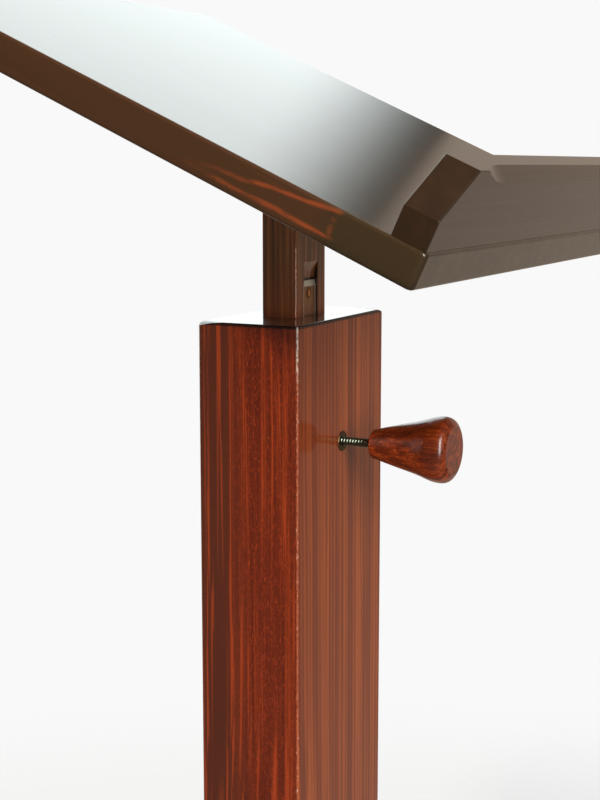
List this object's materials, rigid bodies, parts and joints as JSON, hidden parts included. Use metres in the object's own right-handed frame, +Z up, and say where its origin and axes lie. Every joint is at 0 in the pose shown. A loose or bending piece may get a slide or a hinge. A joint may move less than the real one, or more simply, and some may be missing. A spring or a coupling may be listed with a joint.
{
  "type": "photo album stand",
  "caption": "Floor-standing wooden album stand: hollow column on a plinth, telescoping post with a steel strip, clamp knob, and a sloping tray with a ledge.",
  "frame": {"origin": "on the floor, on the column's centre line", "axes": "+Z up, -Y towards the reader (the tray's low edge and the clamp knob), +X to the reader's right"},
  "size_m": [0.4, 0.3738, 1.0125],
  "materials": {
    "column_wood": "gloss lacquer over red-brown stained wood",
    "base_wood": "gloss lacquer over red-brown stained wood",
    "post_wood": "gloss lacquer over dark brown stained wood",
    "tray_wood": "high gloss lacquer over dark brown stained wood",
    "knob_wood": "gloss lacquer over turned red-brown wood",
    "block_wood": "bare sanded wood",
    "strip_steel": "brushed, lightly toned",
    "zinc_steel": "zinc plated",
    "screw_brass": "satin",
    "pad_brass": "satin",
    "glide_rubber": "matt"
  },
  "bodies": {
    "stand": {"column_front_board": "column_wood", "column_back_board": "column_wood", "column_left_board": "column_wood", "column_right_board": "column_wood", "top_guide_block": "column_wood", "lower_guide_block": "block_wood", "foot_block": "block_wood", "plinth_board": "base_wood", "base_moulding_front": "base_wood", "base_moulding_back": "base_wood", "base_moulding_left": "base_wood", "base_moulding_right": "base_wood", "base_bolts": "zinc_steel", "base_washers": "zinc_steel", "glides": "glide_rubber", "clamp_insert": "zinc_steel"},
    "lift": {"inner_post": "post_wood", "wear_strip": "strip_steel", "strip_screws": "screw_brass", "stop_block": "block_wood", "stop_screws": "zinc_steel", "tray_saddle": "post_wood", "saddle_pin": "block_wood", "saddle_screws": "screw_brass", "tray_board": "tray_wood", "tray_batten_front": "tray_wood", "tray_batten_back": "tray_wood", "batten_screws_front": "screw_brass", "batten_screws_back": "screw_brass", "tray_ledge": "tray_wood", "ledge_screws": "screw_brass"},
    "pad": {"pressure_pad": "pad_brass"},
    "clamp_screw": {"clamp_stud": "zinc_steel", "clamp_knob": "knob_wood"}
  },
  "joints": [
    {"name": "height_slide", "type": "slide", "parent": "stand", "child": "lift", "axis": [0, 0, 1], "range_m": [-0.06, 0.2]},
    {"name": "screw_feed", "type": "slide", "parent": "stand", "child": "pad", "axis": [0, -1, 0], "range_m": [0, 0.003]},
    {"name": "knob_turn", "type": "hinge", "parent": "pad", "child": "clamp_screw", "pos_m": [0, -0.06, 0.7203], "axis": [0, -1, 0], "range_deg": [0, 540]}
  ],
  "couplings": [
    {"joint": "knob_turn", "follows": "screw_feed", "rad_per_m": 3141.6}
  ]
}
